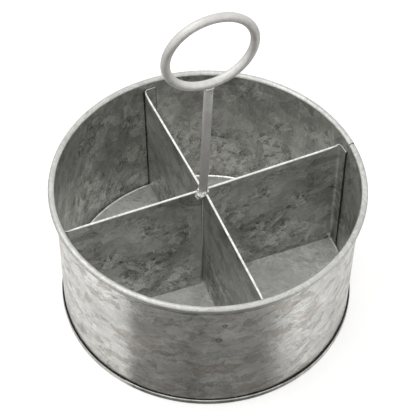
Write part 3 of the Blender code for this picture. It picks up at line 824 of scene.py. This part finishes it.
def runMarks(near, far):
    # distances from the wall corner for one arm, each with the hem's depth and fullness there
    start = divider["flangeBend"] + divider["hemStart"]
    step, depth, full = divider["hemFirst"]
    marks = [(start, 0.0, 0.0), (start + step, depth, full), *divider["hemMarks"]]
    length = (near - far).length - divider["cornerRoom"]
    start = divider["hemFull"]
    count = int((length - start) / divider["runStep"])
    marks += [(start + (length - start) * i / count, divider["hemDepth"], 1.0) for i in range(count + 1)]
    return marks


def dividerStations(firstDegrees, firstPlace, secondDegrees, secondPlace, marksFrom=None):
    # plan of one divider: points, each with the hem's depth and fullness
    first = planDirection(firstDegrees)
    second = planDirection(secondDegrees)
    firstCorner, firstEdge = armEnd(first, firstPlace)
    secondCorner, secondEdge = armEnd(second, secondPlace)
    cross = linesMeet(firstCorner, first, secondCorner, second)
    firstMarks, secondMarks = marksFrom or (runMarks(firstCorner, cross), runMarks(secondCorner, cross))
    fold = (divider["flangeBend"], divider["foldSteps"])
    bend = (divider["cornerBend"], divider["cornerSteps"])
    share = divider["flangeMid"]
    stations = [(firstEdge, 0, 0), (firstEdge.lerp(firstCorner, share), 0, 0)]
    stations += [(p, 0, 0) for p in roundedCorner(firstEdge, firstCorner, cross, *fold)]
    stations += [(firstCorner - first * distance, depth, full) for distance, depth, full in firstMarks]
    middle = roundedCorner(firstCorner, cross, secondCorner, *bend)
    stations += [(p, divider["hemDepth"], 1.0) for p in middle]
    stations += [(secondCorner - second * distance, depth, full)
                 for distance, depth, full in reversed(secondMarks)]
    stations += [(p, 0, 0) for p in roundedCorner(cross, secondCorner, secondEdge, *fold)]
    stations += [(secondEdge.lerp(secondCorner, share), 0, 0), (secondEdge, 0, 0)]
    return stations, (firstMarks, secondMarks)


def sideSteps(points):
    directions = [(b - a).normalized() for a, b in zip(points, points[1:])]
    directions = [directions[0]] + directions + [directions[-1]]
    steps = []
    for before, after in zip(directions, directions[1:]):
        mean = (before + after).normalized()
        steps.append(Vector((-mean.y, mean.x)) / mean.dot(after))
    return steps


def hemColumn(point, step, depth, fullness, rise):
    # the fold stands open at the top and is pressed shut along its lower edge
    half = divider["sheet"] / 2
    fold = half + divider["foldShut"] + (divider["hemGap"] / 2 + divider["foldOpen"]) * fullness
    knee = divider["top"] - half - fold
    column = []
    power = divider["hemSquareness"]
    for across, up in arc((0, 0), 1, 180, 0, divider["foldSteps"]):
        aside = fold + fold * math.copysign(abs(across) ** power, across)
        height = knee + fold * abs(up) ** power
        column.append(((point + step * aside).to_3d() + Vector((0, 0, height + rise)), height))
    shut = divider["sheet"] + divider["hemShut"]
    shallow = depth <= divider["shallowHem"]
    for share in divider["hemShares"]:
        aside = 2 * fold + (shut - 2 * fold) * share
        drop = -divider["shallowDrop"] if shallow else divider["top"] - depth - knee
        height = knee + drop * share
        column.append(((point + step * aside).to_3d() + Vector((0, 0, height + rise)), 2 * knee - height))
    return knee, column


def makeDivider(name, plan):
    stations, marks = dividerStations(*plan["top"])
    feet, _ = dividerStations(*plan["foot"], marks)
    steps = sideSteps([point for point, depth, full in stations])
    outward = planDirection(plan["top"][2])
    rows = max(2, round((divider["top"] - divider["bottom"]) / divider["rowStep"]))
    shape = bmesh.new()
    layer = shape.loops.layers.uv.new("sheet")
    grid = []
    along = 0.0
    lastPoint = stations[0][0]
    for (point, depth, full), (foot, _, _), step in zip(stations, feet, steps):
        along += (point - lastPoint).length
        lastPoint = point
        rise = plan["rise"] * max(point.dot(outward) / divider["innerRadius"], 0)
        knee, hem = divider["top"] - divider["plainTop"], []
        if depth:
            knee, hem = hemColumn(point, step, depth, full, rise)
        column = []
        for i in range(rows + (0 if depth else 1)):
            share = i / rows
            flat = foot.lerp(point, share)
            height = divider["bottom"] + (knee + rise - divider["bottom"]) * share
            inside = min(1, (divider["waveEnd"] - flat.length) / divider["waveFade"])
            spot = Vector((flat.x, flat.y, height)) / divider["waveSize"]
            wave = divider["wave"] * noise.noise(spot) * max(math.sin(math.pi * share) * inside, 0)
            flat = flat + step * wave
            column.append((Vector((flat.x, flat.y, height)), along, height))
        column += [(place, along, height) for place, height in hem]
        if not depth:
            column.append((point.to_3d() + Vector((0, 0, divider["top"] + rise)), along, divider["top"]))
        grid.append([(shape.verts.new(place), u, v) for place, u, v in column])
    for near, far in zip(grid, grid[1:]):
        top = len(near) - 1 if len(near) == len(far) else rows
        for k in range(top):
            corners = (near[k], far[k], far[k + 1], near[k + 1])
            face = shape.faces.new([vert for vert, _, _ in corners])
            onFold = rows <= k < rows + divider["foldSteps"] and len(near) > rows + 3
            face.material_index = 1 if onFold else 0
            mapFace(face, layer, [(u, v) for _, u, v in corners])
        if len(near) != len(far):
            # closes the plain sheet beside the end of the hem
            short, tall = (near, far) if len(near) < len(far) else (far, near)
            highest = rows + divider["foldSteps"] // 2
            for k in range(rows, highest):
                corners = [short[rows + 1], tall[k], tall[k + 1]] if k > rows else \
                    [short[rows], short[rows + 1], tall[rows + 1], tall[rows]]
                if len(near) > len(far):
                    corners.reverse()
                face = shape.faces.new([vert for vert, _, _ in corners])
                mapFace(face, layer, [(u, v) for _, u, v in corners])
    bmesh.ops.recalc_face_normals(shape, faces=shape.faces)
    item = meshItem(caddyParts, name, shape)
    coat(item, "dividerZinc", "edgeHighlightZinc", "gapShade")
    thicken(item, divider["sheet"], 0, 1)
    softenEdges(item, divider["edge"], 2, 60)
    settle(item)
    for face in item.data.polygons:
        # painted highlight: only top edges keep the bright finish; painted shade: a flange's free edge gets
        # the dark gap finish beside the wall
        below = face.center.z < (divider["top"] - divider["brightDepth"]) * mm
        if face.material_index == 1 and (below or face.normal.z < -divider["upright"]):
            face.material_index = 2 if abs(face.normal.z) < divider["upright"] else 0
    smoothShade(item, 35)
    return dress(item, "divider_zinc", plan["node"])


for dividerName, dividerPlan in dividerPlans.items():
    makeDivider(dividerName, dividerPlan)
print("dividers made")


handle = {
    "rodRadius": 3.175, "pivot": (-3.8, 0.35, 108.0), "leanFront": 1.0, "leanRight": 1.15,
    "ringCentre": 139.0, "halfWidth": 31.925, "halfHeight": 28.825, "stemTop": 109.0,
    "ringSteps": 288, "rodSides": 40, "jointDegrees": -84.0, "jointDepth": 0.28, "jointWidth": 0.9,
    "jointPower": 1.5,
    # rows of the stem; the foot rows give heights close to its foot and how much thinner it is there
    "rowStep": 3.0, "rows": 35, "shoulder": 107.4, "footRows": {0.0: 0.5, 0.25: 0.12, 0.8: 0.0},
    "rough": 0.03, "stemRoughSize": 16, "ringRoughSize": 14,
}

handleLean = Euler((math.radians(handle["leanFront"]), math.radians(handle["leanRight"]), 0))
handlePose = Matrix.Translation(handle["pivot"]) @ handleLean.to_matrix().to_4x4()


def skinRings(shape, rings, closed):
    # faces between each ring of points and the next, and round to the first where it is closed
    count = len(rings)
    for i in range(count if closed else count - 1):
        near = rings[i]
        far = rings[(i + 1) % count]
        for k in range(len(near)):
            j = (k + 1) % len(near)
            shape.faces.new((near[k], near[j], far[j], far[k]))


def makeStem():
    shape = bmesh.new()
    heights = [*handle["footRows"]] + [i * handle["rowStep"] for i in range(1, handle["rows"] + 1)]
    heights += [handle["shoulder"], handle["stemTop"]]
    columns = []
    for height in heights:
        inset = handle["footRows"].get(height, 0.0)
        ring = []
        for i in range(handle["rodSides"]):
            angle = math.tau * i / handle["rodSides"]
            spot = Vector((math.cos(angle), math.sin(angle), height / handle["stemRoughSize"]))
            radius = handle["rodRadius"] - inset - handle["rough"] + handle["rough"] * noise.noise(spot)
            ring.append(shape.verts.new((radius * math.cos(angle), radius * math.sin(angle), height)))
        columns.append(ring)
    skinRings(shape, columns, False)
    shape.faces.new(list(reversed(columns[0])))
    shape.faces.new(columns[-1])
    bmesh.ops.transform(shape, matrix=handlePose, verts=shape.verts)
    item = meshItem(caddyParts, "handleStem", shape)
    coat(item, "rodZinc")
    smoothShade(item, 50)
    return dress(item, "rod_zinc", "handle_stem")


def makeRing():
    # oval of rod whose two ends meet in a closed joint beside the stem
    shape = bmesh.new()
    columns = []
    joint = math.radians(handle["jointDegrees"])
    wide, tall = handle["halfWidth"], handle["halfHeight"]
    for i in range(handle["ringSteps"]):
        angle = math.tau * i / handle["ringSteps"]
        centre = Vector((wide * math.cos(angle), 0, tall * math.sin(angle)))
        along = Vector((-wide * math.sin(angle), 0, tall * math.cos(angle))).normalized()
        outward = along.cross(Vector((0, 1, 0)))
        distance = abs(turnFrom(joint, angle)) * wide
        dip = handle["jointDepth"] * max(0, 1 - distance / handle["jointWidth"]) ** handle["jointPower"]
        ring = []
        for k in range(handle["rodSides"]):
            turn = math.tau * k / handle["rodSides"]
            size = handle["ringRoughSize"]
            spot = Vector((centre.x / size, math.cos(turn), centre.z / size + math.sin(turn)))
            radius = handle["rodRadius"] - handle["rough"] + handle["rough"] * noise.noise(spot) - dip
            ring.append(shape.verts.new(centre + outward * radius * math.cos(turn)
                                        + Vector((0, 1, 0)) * radius * math.sin(turn)))
        columns.append(ring)
    skinRings(shape, columns, True)
    bmesh.ops.recalc_face_normals(shape, faces=shape.faces)
    bmesh.ops.translate(shape, vec=(0, 0, handle["ringCentre"]), verts=shape.verts)
    bmesh.ops.transform(shape, matrix=handlePose, verts=shape.verts)
    item = meshItem(caddyParts, "handleRing", shape)
    coat(item, "rodZinc")
    smoothShade(item, 60)
    return dress(item, "rod_zinc", "handle_ring")


makeStem()
makeRing()
print("handle made")


# values of both welds; the fractal has its increment, lacunarity and octaves
weld = {"subdivisions": 4, "relax": 0.5, "relaxSteps": 6, "fractal": (0.9, 2.0, 2), "ringRagged": 0.25}
footWeld = {
    "lumps": (((-7.3, -2.4, 108.3), (3.9, 3.1, 3.4)), ((-4.2, -3.0, 109.4), (2.6, 1.6, 2.4)),
              ((-3.8, 0.35, 109.3), (4.7, 4.5, 2.0)), ((-8.6, -3.0, 109.9), (1.9, 1.5, 1.5))),
    "voxel": 0.26, "ripple": 0.16, "rippleSize": 1.7, "ringStep": 1.5, "ringHeight": 0.13,
    "ringCentre": (-6.6, -2.2, 111.0),
}
ringWeld = {
    "lumps": (((0, 0, 107.2), (4.2, 3.8, 1.9)), ((0.5, -3.1, 105.2), (1.2, 1.1, 1.2))),
    "voxel": 0.3, "ripple": 0.10, "rippleSize": 1.6, "ringStep": 1.4, "ringHeight": 0.05,
    "ringCentre": (0, -3, 109),
}


def pileWeld(name, values, pose, node):
    # lumps melted together, with ripples over them
    shape = bmesh.new()
    for place, radii in values["lumps"]:
        blob = bmesh.new()
        bmesh.ops.create_icosphere(blob, subdivisions=weld["subdivisions"], radius=1)
        bmesh.ops.scale(blob, vec=radii, verts=blob.verts)
        bmesh.ops.translate(blob, vec=place, verts=blob.verts)
        mesh = bpy.data.meshes.new("lump")
        blob.to_mesh(mesh)
        blob.free()
        shape.from_mesh(mesh)
        bpy.data.meshes.remove(mesh)
    bmesh.ops.transform(shape, matrix=pose, verts=shape.verts)
    item = meshItem(caddyParts, name, shape)
    coat(item, "weldZinc")
    melt = item.modifiers.new("melt", "REMESH")
    melt.mode = "VOXEL"
    melt.voxel_size = values["voxel"] * mm
    relax = item.modifiers.new("relax", "SMOOTH")
    relax.factor = weld["relax"]
    relax.iterations = weld["relaxSteps"]
    settle(item)
    mesh = item.data
    normals = [vertex.normal.copy() for vertex in mesh.vertices]
    for vertex, normal in zip(mesh.vertices, normals):
        spot = vertex.co / mm
        rough = noise.fractal(spot / values["rippleSize"], *weld["fractal"])
        away = (spot - Vector(values["ringCentre"])).length / values["ringStep"]
        away += rough * weld["ringRagged"]
        raised = values["ripple"] * rough + values["ringHeight"] * math.sin(away * math.tau)
        vertex.co += normal * mm * raised
    smoothShade(item, 80)
    return dress(item, "weld_metal", node)


pileWeld("footWeld", footWeld, Matrix.Identity(4), "foot_weld")
pileWeld("ringWeld", ringWeld, handlePose, "ring_weld")
print("welds made")

# the wire keeps its CAD shape
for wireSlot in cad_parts["rim_wire"].material_slots:
    wireSlot.material = finishes["wireSlitShade"]
print("wire finished")


# camera, floor and lamp in millimetres and degrees; only the camera's clip distances are metres
studioValues = {
    "azimuth": 245.0, "elevation": 48.73, "distance": 1000.2, "aimHeight": 116.5, "roll": 1.17,
    "lens": 120.8, "sensor": 36, "shiftX": -0.0002, "shiftY": -0.0600, "clipFrom": 0.01, "clipTo": 20,
    "floorRadius": 3000, "floorSides": 96, "floorColour": (0.76, 0.76, 0.755), "floorLift": 0.34,
    "skyForLight": 1.05, "skySeen": 1.0,
    "lamp": {"azimuth": 150, "elevation": 62, "distance": 1700, "size": 1600, "power": 5.0},
    # darker ground in front, which only reflections show: (normal azimuth, distance, softness) of its edges
    "groundColour": (0.215, 0.214, 0.208), "groundEdges": ((276.0, 54.2, 10.0), (206.0, 36.0, 46.0)),
    "stripColour": (0.15, 0.149, 0.143), "stripEdges": ((321.0, 11.5, 14.0), (155.0, 0.0, 14.0)),
    # far off the floor is dimmer in reflections, which shades the sides of the rim and rods
    "farColour": (0.44, 0.44, 0.43), "farEdges": (220.0, 420.0),
}


def skyward(azimuth, elevation):
    a = math.radians(azimuth)
    e = math.radians(elevation)
    return Vector((math.cos(e) * math.cos(a), math.cos(e) * math.sin(a), math.sin(e)))


def insideEdges(tree, spot, edges):
    # one where a floor point lies beyond all the edges, each a soft straight line
    masks = []
    for azimuth, distance, softness in edges:
        turn = math.radians(azimuth)
        reach = vectorMath(tree, "DOT_PRODUCT", spot, (math.cos(turn), math.sin(turn), 0), "Value")
        half = softness / 2
        masks.append(rangeOf(tree, reach, (distance - half) * mm, (distance + half) * mm, 0, 1))
    return times(tree, *masks)


def makeFloor():
    shape = bmesh.new()
    bmesh.ops.create_circle(shape, cap_ends=True, segments=studioValues["floorSides"],
                            radius=studioValues["floorRadius"])
    item = meshItem(studio, "studioFloor", shape)
    finish, tree, shader = startFinish("studioFloor")
    tree.nodes.remove(shader)
    out = tree.nodes["Material Output"]
    path = addNode(tree, "ShaderNodeLightPath")
    spot = addNode(tree, "ShaderNodeNewGeometry").outputs["Position"]
    glossy = path.outputs["Is Glossy Ray"]
    ground = times(tree, insideEdges(tree, spot, studioValues["groundEdges"]), glossy)
    strip = times(tree, insideEdges(tree, spot, studioValues["stripEdges"]), glossy)
    length = vectorMath(tree, "LENGTH", spot, output="Value")
    near, far = studioValues["farEdges"]
    far = times(tree, rangeOf(tree, length, near * mm, far * mm, 0, 1), glossy)
    colour = blendColours(tree, far, studioValues["floorColour"], studioValues["farColour"])
    colour = blendColours(tree, ground, colour, studioValues["groundColour"])
    colour = blendColours(tree, strip, colour, studioValues["stripColour"])
    matt = addNode(tree, "ShaderNodeBsdfDiffuse", {"Color": colour})
    seen = times(tree, path.outputs["Is Camera Ray"], studioValues["floorLift"])
    lift = addNode(tree, "ShaderNodeEmission", {"Color": (1, 1, 1), "Strength": seen})
    both = addNode(tree, "ShaderNodeAddShader", {0: matt.outputs[0], 1: lift.outputs[0]})
    tree.links.new(both.outputs[0], out.inputs["Surface"])
    item.data.materials.append(finish)
    return item


def makeWorld():
    world = bpy.data.worlds.new("studioWorld")
    bpy.context.scene.world = world
    world.use_nodes = True
    tree = world.node_tree
    back = tree.nodes["Background"]
    path = addNode(tree, "ShaderNodeLightPath")
    seen = mathOf(tree, "MAXIMUM", path.outputs["Is Camera Ray"], path.outputs["Is Glossy Ray"])
    seen = mathOf(tree, "MAXIMUM", seen, path.outputs["Is Transmission Ray"])
    level = rangeOf(tree, seen, 0, 1, studioValues["skyForLight"], studioValues["skySeen"], False)
    back.inputs["Color"].default_value = (1, 1, 1, 1)
    tree.links.new(level, back.inputs["Strength"])


def makeLamp(name, azimuth, elevation, distance, size, power):
    lamp = bpy.data.lights.new(name, "AREA")
    lamp.shape = "DISK"
    lamp.size = size * mm
    lamp.energy = power
    item = putIn(studio, name, lamp)
    place = skyward(azimuth, elevation) * distance * mm
    item.location = place
    item.rotation_euler = (-place).to_track_quat("-Z", "Y").to_euler()
    item.visible_camera = False
    return item


def makeCamera():
    lensData = bpy.data.cameras.new("photoCamera")
    lensData.lens = studioValues["lens"]
    lensData.sensor_width = studioValues["sensor"]
    lensData.shift_x = studioValues["shiftX"]
    lensData.shift_y = studioValues["shiftY"]
    lensData.clip_start = studioValues["clipFrom"]
    lensData.clip_end = studioValues["clipTo"]
    item = putIn(studio, "photoCamera", lensData)
    away = skyward(studioValues["azimuth"], studioValues["elevation"])
    item.location = (Vector((0, 0, studioValues["aimHeight"])) + away * studioValues["distance"]) * mm
    look = (-away).to_track_quat("-Z", "Y").to_matrix().to_4x4()
    item.rotation_euler = (look @ Matrix.Rotation(math.radians(studioValues["roll"]), 4, "Z")).to_euler()
    bpy.context.scene.camera = item


makeFloor()
makeWorld()
makeLamp("skyPanel", **studioValues["lamp"])
makeCamera()
bpy.context.scene.view_settings.view_transform = "Standard"
print("studio ready")
